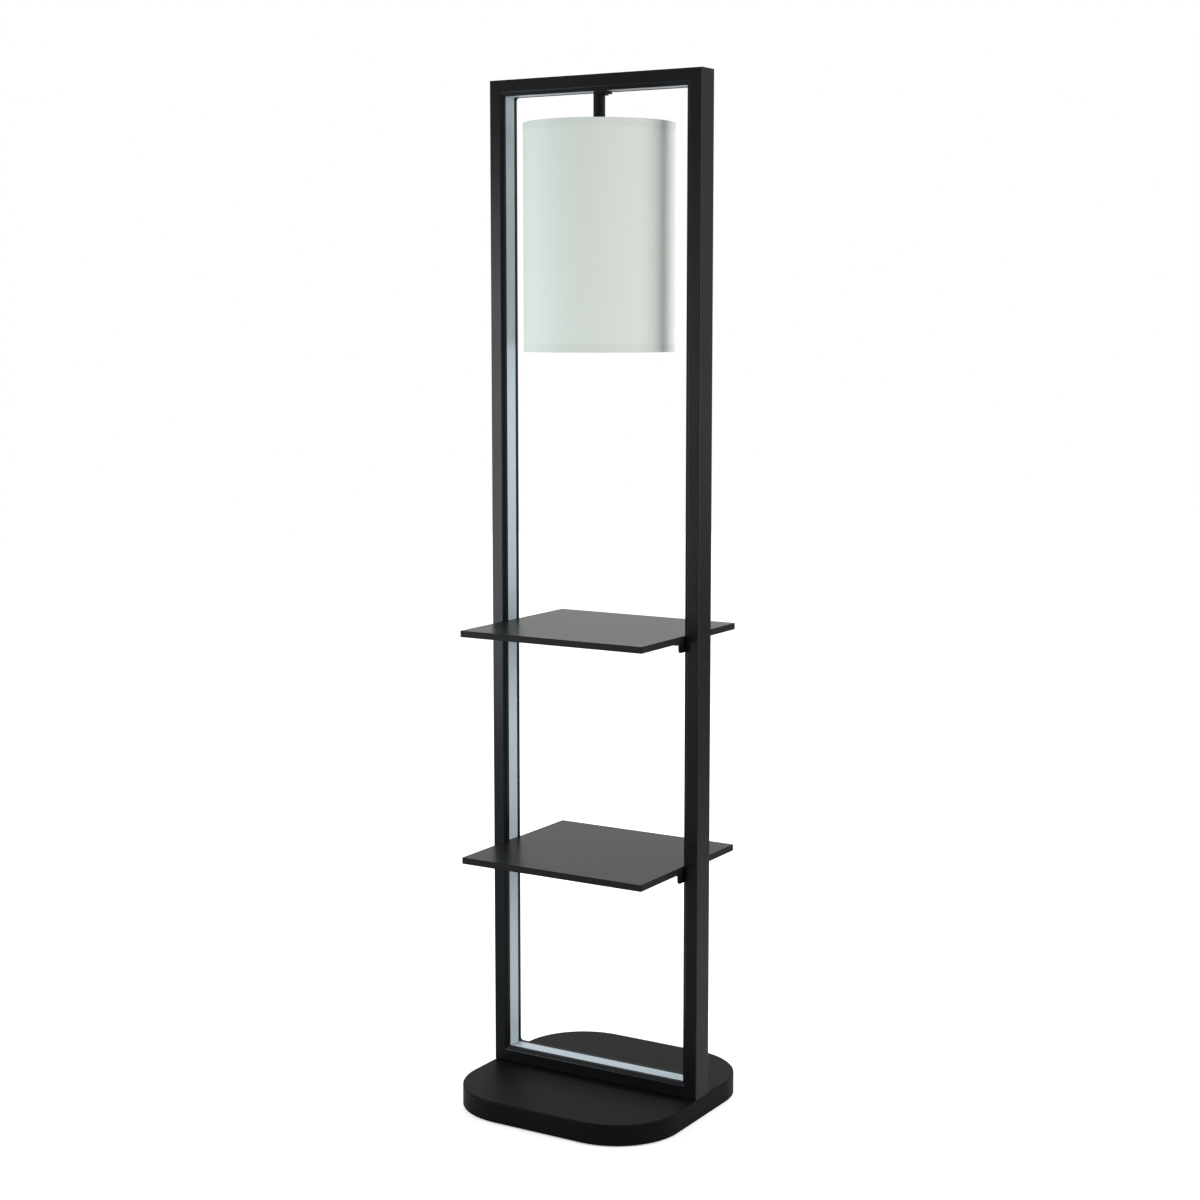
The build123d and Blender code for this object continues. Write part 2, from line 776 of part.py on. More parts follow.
def centre_contact():
    return cylinder_up(contact_radius, contact_bottom, holder_bore_top)


def shade_nut():
    """Threaded ring under the shade's washer, notched for the fingers."""
    high = flange_bottom - spider_sheet - axial_gap
    low = high - shade_nut_height
    nut = cylinder_up(shade_nut_radius, low, high)
    nut -= cylinder_up(holder_body_radius + slip_clearance, low - cut_past, high + cut_past)
    for number in range(shade_nut_notches):
        angle = math.radians(360 * number / shade_nut_notches)
        x = shade_nut_radius * math.cos(angle)
        y = shade_nut_radius * math.sin(angle)
        nut -= cylinder_up(shade_nut_notch_radius, low - cut_past, high + cut_past, x, y)
    return nut


def switch_knob():
    """Rotary switch knob on the side of the lampholder."""
    start = holder_cap_radius + 2 * axial_gap
    middle = start + knob_length / 2
    knob = cylinder_along_x(knob_radius, start, start + knob_length * knob_disc_share, 0, knob_z)
    grip = Pos(middle, 0, knob_z) * Box(knob_length, knob_grip_width, 2 * knob_grip_half)
    knob += fillet(grip.edges().filter_by(Axis.Y).group_by(Axis.X)[-1], knob_grip_edge_radius)
    return knob + cylinder_along_x(knob_stem_radius, stem_hole_end + hole_clearance, middle, 0, knob_z)


def bulb_cap():
    low = bulb_shoulder - bulb_cap_length
    cap = cylinder_up(bulb_cap_radius, low, bulb_shoulder)
    cap -= cylinder_up(bulb_cap_radius - bulb_cap_wall, low - cut_past, bulb_shoulder - bulb_cap_wall)
    return cap + cylinder_up(bulb_tip_radius, bulb_shoulder, bulb_tip)


def bulb_outline(wall):
    """Half outline of the glass, set in from the outside by a wall."""
    start = bulb_shoulder - bulb_cap_length + bulb_neck_in_cap
    far_end = bulb_tip - bulb_length + wall
    neck = bulb_neck_radius - wall
    globe = bulb_radius - wall
    centre = far_end + globe
    neck_end = bulb_shoulder - bulb_cap_length - bulb_neck_below_cap
    side = Line((neck, start), (neck, neck_end))
    shoulder = Spline(
        (neck, neck_end),
        (globe, centre),
        tangents=[(0, -1), (0, -1)],
    )
    end = CenterArc((0, centre), globe, 0, -90)
    return side + shoulder + end, start, far_end, neck


def bulb_solid(wall):
    outline, start, far_end, neck = bulb_outline(wall)
    closing = Polyline((0, far_end), (0, start), (neck, start))
    face = make_face(Plane.XZ * (outline + closing))
    return revolve(face, Axis.Z)


def bulb_glass():
    """Pear-shaped globe, open inside the metal cap."""
    return bulb_solid(0.0) - bulb_solid(bulb_wall)


def shade_cloth():
    """Stiffened cloth drum."""
    drum = cylinder_up(shade_radius, shade_bottom, shade_top)
    inside = shade_radius - shade_wall
    return drum - cylinder_up(inside, shade_bottom - cut_past, shade_top + cut_past)


def wire_ring(z):
    return Pos(0, 0, z) * Torus(wire_ring_radius, wire_radius)


def shade_spider():
    """Washer under the lampholder's flange and its wire arms, welded to the top ring."""
    washer_low = flange_bottom - spider_sheet
    spider = cylinder_up(spider_washer_radius, washer_low, flange_bottom)
    inner = spider_washer_radius - 2 * spider_arm_radius
    start = Vector(inner, 0, washer_low + spider_sheet / 2)
    run = Vector(wire_ring_radius, 0, top_ring_z) - start
    arm = extrude(Plane(start, z_dir=run) * Circle(spider_arm_radius), run.length)
    for number in range(spider_arms):
        angle = spider_first_angle + 360 * number / spider_arms
        spider += Rot(0, 0, angle) * arm
    spider -= wire_ring(top_ring_z)
    bore = holder_body_radius + hole_clearance
    return spider - cylinder_up(bore, washer_low - spider_arm_radius, flange_bottom + spider_arm_radius)


def lamp_parts():
    return {
        "hanger_plate": hanger_plate(),
        "hanger_screw": hanger_screw(),
        "hanger_nut": hanger_nut(),
        "threaded_pipe": threaded_pipe(),
        "hanger_tube": hanger_tube(),
        "lampholder_cap": lampholder_cap(),
        "lampholder_body": lampholder_body(),
        "screw_shell": screw_shell(),
        "centre_contact": centre_contact(),
        "shade_nut": shade_nut(),
        "switch_knob": switch_knob(),
        "bulb_cap": bulb_cap(),
        "bulb_glass": bulb_glass(),
        "shade_cloth": shade_cloth(),
        "shade_spider": shade_spider(),
        "shade_top_ring": wire_ring(top_ring_z),
        "shade_bottom_ring": wire_ring(shade_bottom + ring_edge_inset),
    }


def write_parts():
    os.makedirs("parts", exist_ok=True)
    for group in (frame_parts(), base_parts(), shelf_parts(), lamp_parts()):
        for name, shape in group.items():
            if isinstance(shape, list):
                shape = Compound(children=shape)
            export_step(shape, "parts/" + name + ".step")


write_parts()
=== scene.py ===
import json
import math

import bmesh
import bpy
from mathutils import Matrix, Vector


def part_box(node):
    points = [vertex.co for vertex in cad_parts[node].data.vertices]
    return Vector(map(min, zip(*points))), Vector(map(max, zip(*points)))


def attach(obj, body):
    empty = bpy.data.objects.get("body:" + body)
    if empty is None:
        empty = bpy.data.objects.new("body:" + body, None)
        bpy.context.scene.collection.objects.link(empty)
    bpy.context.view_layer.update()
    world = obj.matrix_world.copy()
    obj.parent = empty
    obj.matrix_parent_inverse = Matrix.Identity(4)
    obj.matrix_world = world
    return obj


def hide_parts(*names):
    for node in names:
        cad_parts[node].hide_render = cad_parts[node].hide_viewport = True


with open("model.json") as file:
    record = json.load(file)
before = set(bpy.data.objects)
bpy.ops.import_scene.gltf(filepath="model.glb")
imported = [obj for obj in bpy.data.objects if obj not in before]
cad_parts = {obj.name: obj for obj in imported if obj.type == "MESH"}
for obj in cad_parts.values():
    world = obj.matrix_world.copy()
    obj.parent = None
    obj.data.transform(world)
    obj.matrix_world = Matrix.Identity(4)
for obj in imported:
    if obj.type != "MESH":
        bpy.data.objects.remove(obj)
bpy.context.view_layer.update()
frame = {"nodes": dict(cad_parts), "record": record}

mm = 0.001


# A wire is an output socket of a node. Arithmetic on wires adds Math nodes.
class Wire:
    def __init__(self, tree, socket):
        self.tree = tree
        self.socket = socket

    def out(self, name):
        return Wire(self.tree, self.socket.node.outputs[name])  # another output of the same node

    def calc(self, operation, *values):
        return self.tree.add("ShaderNodeMath", {"operation": operation}, dict(enumerate(values)))

    def __add__(self, other):
        return self.calc("ADD", self, other)

    def __radd__(self, other):
        return self.calc("ADD", other, self)

    def __sub__(self, other):
        return self.calc("SUBTRACT", self, other)

    def __rsub__(self, other):
        return self.calc("SUBTRACT", other, self)

    def __mul__(self, other):
        return self.calc("MULTIPLY", self, other)

    def __rmul__(self, other):
        return self.calc("MULTIPLY", other, self)

    def __abs__(self):
        return self.calc("ABSOLUTE", self)

    def least(self, other):
        return self.calc("MINIMUM", self, other)

    def most(self, other):
        return self.calc("MAXIMUM", self, other)

    def root(self):
        return self.calc("SQRT", self)

    def sine(self):
        return self.calc("SINE", self)

    def angleFrom(self, other):
        return self.calc("ARCTAN2", self, other)


class Tree:
    def __init__(self, nodeTree):
        self.nodeTree = nodeTree

    def add(self, kind, settings=None, sockets=None):
        made = self.nodeTree.nodes.new(kind)
        for name, value in (settings or {}).items():
            setattr(made, name, value)
        for name, value in (sockets or {}).items():
            if isinstance(value, Wire):
                self.nodeTree.links.new(value.socket, made.inputs[name])
            else:
                made.inputs[name].default_value = value
        return Wire(self, made.outputs[0]) if made.outputs else None


# One material, whose patterns read Object coordinates.
class Finish(Tree):
    def __init__(self, name):
        self.material = bpy.data.materials.new(name)
        self.material.use_nodes = True
        super().__init__(self.material.node_tree)
        self.nodeTree.nodes.clear()
        self.place = self.add("ShaderNodeTexCoord").out("Object")

    def axes(self):
        apart = self.add("ShaderNodeSeparateXYZ", {}, {"Vector": self.place})
        return apart.out("X"), apart.out("Y"), apart.out("Z")

    def facing(self):
        normal = self.add("ShaderNodeNewGeometry").out("Normal")
        apart = self.add("ShaderNodeSeparateXYZ", {}, {"Vector": normal})
        return abs(apart.out("X")), abs(apart.out("Y")), abs(apart.out("Z"))

    def noise(self, scale, stretch=(1.0, 1.0, 1.0), detail=2.0, where=None):
        spread = self.add("ShaderNodeMapping", {}, {"Vector": where or self.place, "Scale": stretch})
        return self.add("ShaderNodeTexNoise", {}, {"Vector": spread, "Scale": scale, "Detail": detail})

    def fade(self, value, low, high, start=0.0, end=1.0):
        ends = {"Value": value, "From Min": low, "From Max": high, "To Min": start, "To Max": end}
        return self.add("ShaderNodeMapRange", {"interpolation_type": "SMOOTHSTEP"}, ends)

    def mixColour(self, share, first, second):
        settings = {"data_type": "RGBA", "blend_type": "MIX"}
        return self.add("ShaderNodeMix", settings, {0: share, 6: first, 7: second}).out(2)

    def bump(self, height, depth, under=None):
        sockets = {"Height": height, "Distance": depth, "Strength": 1.0}
        if under is not None:
            sockets["Normal"] = under
        return self.add("ShaderNodeBump", {}, sockets)

    def surface(self, sockets):
        shader = self.add("ShaderNodeBsdfPrincipled", {}, sockets)
        self.add("ShaderNodeOutputMaterial", {}, {"Surface": shader})
        return self.material


def rgb(red, green=None, blue=None):
    return (red, red if green is None else green, red if blue is None else blue, 1.0)


def toned(colour, share):
    return rgb(*[share * part for part in colour])


# Where things are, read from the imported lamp.
def boxOf(*names):
    boxes = [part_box(name) for name in names]
    low = Vector(min(box[0][axis] for box in boxes) for axis in range(3))
    high = Vector(max(box[1][axis] for box in boxes) for axis in range(3))
    return low, high


frameBox = boxOf("frame_left_post", "frame_right_post")
shadeBox = boxOf("shade_cloth")
shelfBox = boxOf("upper_shelf", "lower_shelf")
holderBox = boxOf("lampholder_body")
nutBox = boxOf("shade_nut")
knobBox = boxOf("switch_knob")
padBox = boxOf("base_pads")
topRingBox = boxOf("shade_top_ring")
lampTop = frameBox[1].z
frameFoot = frameBox[0].z
halfWidth = frameBox[1].x
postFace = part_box("frame_left_post")[1].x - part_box("frame_left_post")[0].x


camera = {
    "place": (1.7084, -2.8211, 1.2282),
    "turn": 31.18,        # degrees round from the lamp's front
    "tip": -6.87,         # degrees above level
    "focalPixels": 2156.6,
    "photoPixels": 1200,
    "sensor": 36.0,
    "shiftY": -0.02,
    "clipEnd": 100.0,
}


def addCamera():
    data = bpy.data.cameras.new("camera")
    data.sensor_width = camera["sensor"]
    data.lens = camera["focalPixels"] / camera["photoPixels"] * camera["sensor"]
    data.shift_y = camera["shiftY"]
    data.clip_end = camera["clipEnd"]
    eye = bpy.data.objects.new("camera", data)
    bpy.context.scene.collection.objects.link(eye)
    turn = math.radians(camera["turn"])
    tip = math.radians(camera["tip"])
    look = Vector((-math.sin(turn) * math.cos(tip), math.cos(turn) * math.cos(tip), math.sin(tip)))
    eye.location = camera["place"]
    eye.rotation_mode = "QUATERNION"
    eye.rotation_quaternion = look.to_track_quat("-Z", "Y")
    bpy.context.scene.camera = eye


world = {
    "light": 0.38,        # what the surroundings give the lamp
    "seen": 1.0,          # what the camera and shiny surfaces see of them
}


def addWorld():
    sky = bpy.data.worlds.new("surroundings")
    bpy.context.scene.world = sky
    sky.use_nodes = True
    tree = Tree(sky.node_tree)
    sky.node_tree.nodes.clear()
    path = tree.add("ShaderNodeLightPath")
    seen = path.out("Is Camera Ray").most(path.out("Is Glossy Ray")).most(path.out("Is Transmission Ray"))
    strength = world["light"] + seen * (world["seen"] - world["light"])
    white = tree.add("ShaderNodeBackground", {}, {"Color": rgb(1.0), "Strength": strength})
    tree.add("ShaderNodeOutputWorld", {}, {"Surface": white})


floor = {
    "radius": 9.0,
    "sides": 96,
    "colour": 0.86,
    "nearLift": 0.42,     # added for the camera alone, so that the floor is white outside the shadow
    "farLift": 0.95,
    "near": 0.6,
    "far": 3.0,
    "below": 0.2 * mm,    # keeps the floor clear of the feet's undersides
}


def addFloor():
    finish = Finish("pale_floor")
    x, y, _ = finish.axes()
    away = (x * x + y * y).root()
    lift = finish.fade(away, floor["near"], floor["far"])
    glowColour = finish.mixColour(lift, rgb(floor["nearLift"]), rgb(floor["farLift"]))
    plain = finish.add("ShaderNodeBsdfDiffuse", {}, {"Color": rgb(floor["colour"])})
    glow = finish.add("ShaderNodeEmission", {}, {"Color": glowColour, "Strength": 1.0})
    lifted = finish.add("ShaderNodeAddShader", {}, {0: plain, 1: glow})
    path = finish.add("ShaderNodeLightPath")
    either = finish.add("ShaderNodeMixShader", {}, {0: path.out("Is Camera Ray"), 1: plain, 2: lifted})
    finish.add("ShaderNodeOutputMaterial", {}, {"Surface": either})
    mesh = bpy.data.meshes.new("floor")
    steps = [2 * math.pi * number / floor["sides"] for number in range(floor["sides"])]
    rim = [(floor["radius"] * math.cos(angle), floor["radius"] * math.sin(angle), -floor["below"])
           for angle in steps]
    mesh.from_pydata(rim, [], [list(range(floor["sides"]))])
    mesh.materials.append(finish.material)
    piece = bpy.data.objects.new("floor", mesh)
    bpy.context.scene.collection.objects.link(piece)


softboxes = {
    "left": {"place": (-1.23, -1.62, 0.88), "aim": (0, 0, 0.9), "size": (0.36, 1.15), "watts": 31.0,
             "colour": (0.91, 0.965, 1.0)},
    "right": {"place": (1.98, 0.24, 1.05), "aim": (0, 0, 1.1), "size": (1.7, 1.4), "watts": 42.0,
              "colour": (1.0, 1.0, 1.0)},
    "above": {"place": (0.1, 0.2, 3.0), "aim": (0, 0, 0.8), "size": (1.6, 1.6), "watts": 14.0,
              "colour": (1.0, 1.0, 1.0)},
    "behind": {"place": (-1.0, 1.65, 2.7), "aim": (0, 0, 1.1), "size": (1.4, 1.4), "watts": 40.0,
               "colour": (1.0, 1.0, 1.0)},
}


def addSoftboxes():
    for name, box in softboxes.items():
        data = bpy.data.lights.new(name, "AREA")
        data.shape = "RECTANGLE"
        data.size, data.size_y = box["size"]
        data.energy = box["watts"]
        data.color = box["colour"]
        lamp = bpy.data.objects.new(name, data)
        bpy.context.scene.collection.objects.link(lamp)
        lamp.location = box["place"]
        lamp.rotation_mode = "QUATERNION"
        lamp.rotation_quaternion = (Vector(box["aim"]) - Vector(box["place"])).to_track_quat("-Z", "Y")


bpy.context.scene.view_settings.view_transform = "Standard"
addCamera()
addWorld()
addFloor()
addSoftboxes()
print("camera, floor and light are set")


powderCoat = {
    "colour": (0.0044, 0.0045, 0.0049),
    "roughness": 0.28,
    "specular": 0.078,
    "peelScale": 900.0,   # orange peel, waves a metre
    "peelDepth": 0.006 * mm,
    "peelRoughness": 0.05,
    "patchScale": 9.0,
    "patchRoughness": 0.06,
    "mottle": 0.15,
    "mitreWidth": 0.5 * mm,
    "mitreDepth": 0.05 * mm,
    "mitreFade": 2 * mm,
    "edgeGloss": 0.7,     # the film draws thin and glossy over rounded edges
    "edgeGlossRoughness": 0.25,
    "edgeStart": 0.90,    # cosine of the surface's tilt away from a flat face
    "edgeEnd": 0.985,
}


# How near a point is to the four welded corners: 1 on the line, 0 away from it.
def mitreLine(finish):
    x, _, z = finish.axes()
    side = halfWidth - abs(x)
    end = (lampTop - z).least(z - frameFoot)
    apart = abs(side - end)
    corner = finish.fade(side.most(end), postFace, postFace + powderCoat["mitreFade"], 1.0, 0.0)
    return finish.fade(apart, 0.0, powderCoat["mitreWidth"], 1.0, 0.0) * corner


# 1 on a rounded edge, 0 on a flat face.
def roundedEdge(finish):
    across, along, up = finish.facing()
    squarely = across.most(along).most(up)
    return finish.fade(squarely, powderCoat["edgeStart"], powderCoat["edgeEnd"], 1.0, 0.0)


def paintedSteel(name, mitred=False, lighter=1.0, roughness=powderCoat["roughness"],
                 specular=powderCoat["specular"], edgeGloss=powderCoat["edgeGloss"], edgeIor=1.5):
    finish = Finish(name)
    colour = [lighter * part for part in powderCoat["colour"]]
    patches = finish.noise(powderCoat["patchScale"], detail=3.0)
    fine = finish.noise(powderCoat["peelScale"])
    dim = toned(colour, 1.0 - powderCoat["mottle"])
    bright = toned(colour, 1.0 + powderCoat["mottle"])
    normal = finish.bump(fine, powderCoat["peelDepth"])
    if mitred:
        normal = finish.bump(1.0 - mitreLine(finish), powderCoat["mitreDepth"], normal)
    uneven = powderCoat["patchRoughness"] * (patches - 0.5)
    return finish.surface({
        "Base Color": finish.mixColour(patches, dim, bright),
        "Roughness": roughness + uneven + powderCoat["peelRoughness"] * (fine - 0.5),
        "Specular IOR Level": specular,
        "Coat Weight": edgeGloss * roundedEdge(finish),
        "Coat Roughness": powderCoat["edgeGlossRoughness"],
        "Coat IOR": edgeIor,
        "Normal": normal,
    })


anodised = {
    "colour": (0.0040, 0.0042, 0.0050),
    "cloudTone": 1.5,
    "cloudScale": 14.0,
    "cloudRoughness": 0.05,
    "roughness": 0.30,
    "dust": 0.28,         # roughness added on faces that lean or lie level
    "dustStart": 0.1,     # cosine of the face's tilt away from level
    "dustEnd": 0.4,
    "specular": 0.10,
    "specularTint": (0.80, 0.91, 1.0),
    "drawLines": 2600.0,  # waves a metre across the drawn lines
    "drawLength": 3.0,    # waves a metre along them
    "drawRoughness": 0.10,
    "drawDepth": 0.004 * mm,
}


def anodisedChannel():
    finish = Finish("black_anodised")
    along = finish.noise(1.0, (anodised["drawLines"], anodised["drawLines"], anodised["drawLength"]))
    cloud = finish.noise(anodised["cloudScale"])
    dust = finish.fade(finish.facing()[2], anodised["dustStart"], anodised["dustEnd"])
    level = anodised["roughness"] + anodised["dust"] * dust + anodised["drawRoughness"] * (along - 0.5)
    bright = toned(anodised["colour"], anodised["cloudTone"])
    return finish.surface({
        "Base Color": finish.mixColour(cloud, rgb(*anodised["colour"]), bright),
        "Roughness": level + anodised["cloudRoughness"] * (cloud - 0.5),
        "Specular IOR Level": anodised["specular"],
        "Specular Tint": rgb(*anodised["specularTint"]),
        "Normal": finish.bump(along, anodised["drawDepth"]),
    })


milk = {
    "colour": (0.47, 0.545, 0.59),
    "deep": (0.39, 0.465, 0.51),
    "cloudScale": 5.0,
    "roughness": 0.34,
    "grainScale": 1500.0,
    "grainRoughness": 0.08,
    "grainDepth": 0.003 * mm,
    "specular": 0.4,
    "subsurface": 0.25,
    "subsurfaceDepth": 2 * mm,
}


def milkyCover():
    finish = Finish("milky_acrylic")
    cloud = finish.noise(milk["cloudScale"], detail=1.0)
    grain = finish.noise(milk["grainScale"])
    return finish.surface({
        "Base Color": finish.mixColour(cloud, rgb(*milk["deep"]), rgb(*milk["colour"])),
        "Roughness": milk["roughness"] + milk["grainRoughness"] * (grain - 0.5),
        "Specular IOR Level": milk["specular"],
        "Subsurface Weight": milk["subsurface"],
        "Subsurface Radius": (1.0, 1.0, 1.0),
        "Subsurface Scale": milk["subsurfaceDepth"],
        "Normal": finish.bump(grain, milk["grainDepth"]),
    })


strip = {
    "tape": (0.86, 0.85, 0.82),
    "phosphor": (0.92, 0.70, 0.22),
    "tapeTop": 1.6 * mm,  # above the channel's floor
    "tapeBlend": 0.1 * mm,
    "roughness": 0.45,
    "grainScale": 1200.0,
    "grainRoughness": 0.1,
    "grainDepth": 0.01 * mm,
}


# The packages stand higher than the tape, so height above the channel's floor tells them apart.
def ledStrip():
    finish = Finish("light_strip")
    x, _, z = finish.axes()
    inner = halfWidth - postFace
    height = (inner - abs(x)).least(lampTop - postFace - z).least(z - frameFoot - postFace)
    package = finish.fade(height, strip["tapeTop"], strip["tapeTop"] + strip["tapeBlend"])
    grain = finish.noise(strip["grainScale"])
    return finish.surface({
        "Base Color": finish.mixColour(package, rgb(*strip["tape"]), rgb(*strip["phosphor"])),
        "Roughness": strip["roughness"] + strip["grainRoughness"] * grain,
        "Normal": finish.bump(grain, strip["grainDepth"]),
    })


board = {
    "top": (0.0085, 0.0092, 0.0090),
    "dimTone": 0.9,
    "brightTone": 1.1,
    "edge": (0.0080, 0.0083, 0.0088),
    "edgeInset": 0.3 * mm,
    "edgeBlend": 0.2 * mm,
    "roughness": 0.29,
    "edgeRoughness": 0.5,
    "specular": 0.055,
    "specularTint": (0.95, 1.0, 0.965),
    "grainScale": 420.0,
    "grainStretch": (0.12, 1.0, 1.0),
    "grainRoughness": 0.06,
    "grainDepth": 0.010 * mm,
    "cloudScale": 7.0,
    "cloudStretch": (0.6, 1.0, 1.0),
    "cloudRoughness": 0.05,
}


def shelfBoard():
    finish = Finish("satin_board")
    x, y, _ = finish.axes()
    beyondEnd = abs(x) - (shelfBox[1].x - board["edgeInset"])
    beyondFront = abs(y) - (shelfBox[1].y - board["edgeInset"])
    edge = finish.fade(beyondEnd.most(beyondFront), 0.0, board["edgeBlend"])
    grain = finish.noise(board["grainScale"], board["grainStretch"], 3.0)
    cloud = finish.noise(board["cloudScale"], board["cloudStretch"], 3.0)
    dim = toned(board["top"], board["dimTone"])
    bright = toned(board["top"], board["brightTone"])
    rough = board["roughness"] + edge * (board["edgeRoughness"] - board["roughness"])
    rough = rough + board["grainRoughness"] * (grain - 0.5)
    return finish.surface({
        "Base Color": finish.mixColour(edge, finish.mixColour(cloud, dim, bright), rgb(*board["edge"])),
        "Roughness": rough + board["cloudRoughness"] * (cloud - 0.5),
        "Specular IOR Level": board["specular"],
        "Specular Tint": rgb(*board["specularTint"]),
        "Normal": finish.bump(grain, board["grainDepth"]),
    })


moulded = {"dimTone": 0.92, "cloudScale": 20.0, "textureScale": 1100.0, "textureRoughness": 0.12}


def mouldedPlastic(name, colour, roughness, depth=0.012 * mm, specular=0.5):
    finish = Finish(name)
    texture = finish.noise(moulded["textureScale"], detail=3.0)
    cloud = finish.noise(moulded["cloudScale"])
    return finish.surface({
        "Base Color": finish.mixColour(cloud, toned(colour, moulded["dimTone"]), rgb(*colour)),
        "Roughness": roughness + moulded["textureRoughness"] * (texture - 0.5),
        "Specular IOR Level": specular,
        "Normal": finish.bump(texture, depth),
    })


plated = {
    "tarnish": 0.8,
    "cloudScale": 55.0,
    "cloudRoughness": 0.16,
    "scratchScale": 900.0,
    "scratchStretch": (1.0, 1.0, 0.06),
    "scratchRoughness": 0.08,
    "scratchDepth": 0.004 * mm,
}


def platedMetal(name, colour, roughness):
    finish = Finish(name)
    cloud = finish.noise(plated["cloudScale"], detail=4.0)
    scratch = finish.noise(plated["scratchScale"], plated["scratchStretch"])
    rough = roughness + plated["cloudRoughness"] * (cloud - 0.5)
    return finish.surface({
        "Base Color": finish.mixColour(cloud, toned(colour, plated["tarnish"]), rgb(*colour)),
        "Metallic": 1.0,
        "Roughness": rough + plated["scratchRoughness"] * (scratch - 0.5),
        "Normal": finish.bump(scratch, plated["scratchDepth"]),
    })


cast = {
    "dim": (0.055, 0.05, 0.048),
    "bright": (0.12, 0.11, 0.105),
    "coarseScale": 160.0,
    "coarseDepth": 0.25 * mm,
    "pitScale": 700.0,
    "pitDepth": 0.05 * mm,
    "pitRoughness": 0.15,
    "roughness": 0.72,
    "specular": 0.4,
}


def castIron():
    finish = Finish("cast_ballast")
    coarse = finish.noise(cast["coarseScale"], detail=5.0)
    pits = finish.noise(cast["pitScale"])
    return finish.surface({
        "Base Color": finish.mixColour(coarse, rgb(*cast["dim"]), rgb(*cast["bright"])),
        "Roughness": cast["roughness"] + cast["pitRoughness"] * (pits - 0.5),
        "Specular IOR Level": cast["specular"],
        "Normal": finish.bump(coarse, cast["coarseDepth"], finish.bump(pits, cast["pitDepth"])),
    })


rubber = {
    "dim": 0.016,
    "bright": 0.026,
    "cloudScale": 60.0,
    "speckScale": 1400.0,
    "speckRoughness": 0.14,
    "speckDepth": 0.02 * mm,
    "roughness": 0.78,
    "specular": 0.3,
}


def blackRubber():
    finish = Finish("black_rubber")
    speck = finish.noise(rubber["speckScale"])
    cloud = finish.noise(rubber["cloudScale"])
    return finish.surface({
        "Base Color": finish.mixColour(cloud, rgb(rubber["dim"]), rgb(rubber["bright"])),
        "Roughness": rubber["roughness"] + rubber["speckRoughness"] * (speck - 0.5),
        "Specular IOR Level": rubber["specular"],
        "Normal": finish.bump(speck, rubber["speckDepth"]),
    })


frosted = {
    "dim": (0.88, 0.88, 0.86),
    "bright": (0.93, 0.93, 0.90),
    "etchScale": 1600.0,
    "etchRoughness": 0.1,
    "etchDepth": 0.004 * mm,
    "roughness": 0.42,
    "transmission": 0.12,
    "ior": 1.45,
}


def frostedGlass():
    finish = Finish("frosted_glass")
    etch = finish.noise(frosted["etchScale"])
    return finish.surface({
        "Base Color": finish.mixColour(etch, rgb(*frosted["dim"]), rgb(*frosted["bright"])),
        "Roughness": frosted["roughness"] + frosted["etchRoughness"] * (etch - 0.5),
        "Transmission Weight": frosted["transmission"],
        "IOR": frosted["ior"],
        "Normal": finish.bump(etch, frosted["etchDepth"]),
    })


cloth = {
    "warp": (0.64, 0.675, 0.63),
    "weft": (0.54, 0.58, 0.53),
    "threadPitch": 0.42 * mm,
    "threadDepth": 0.05 * mm,
    "threadBlend": 0.4,   # how softly threads that pass over turn into threads that pass under
    "slubLength": 16 * mm,
    "slub": 0.5,
    "slubStart": 0.5,
    "slubEnd": 0.78,
    "slubRoughness": 0.1,
    "cloudScale": 6.0,
    "cloudStretch": (1.0, 0.3, 1.0),
    "roughness": 0.86,
    "specular": 0.25,
    "sheen": 0.25,
    "sheenRoughness": 0.5,
    "seamTurn": 118.0,    # degrees: the lapped seam is at the back
    "seamWidth": 7 * mm,
    "seamBlend": 0.6 * mm,
    "seamTone": 0.1,
    "seamDepth": 0.35 * mm,
}
weaveDepths = {"over": 0.55, "slubWeft": 0.3, "slubWarp": 0.3}
weaveTones = {"over": 0.35, "cloud": 0.25, "streak": 0.25, "slubWarp": 0.15}


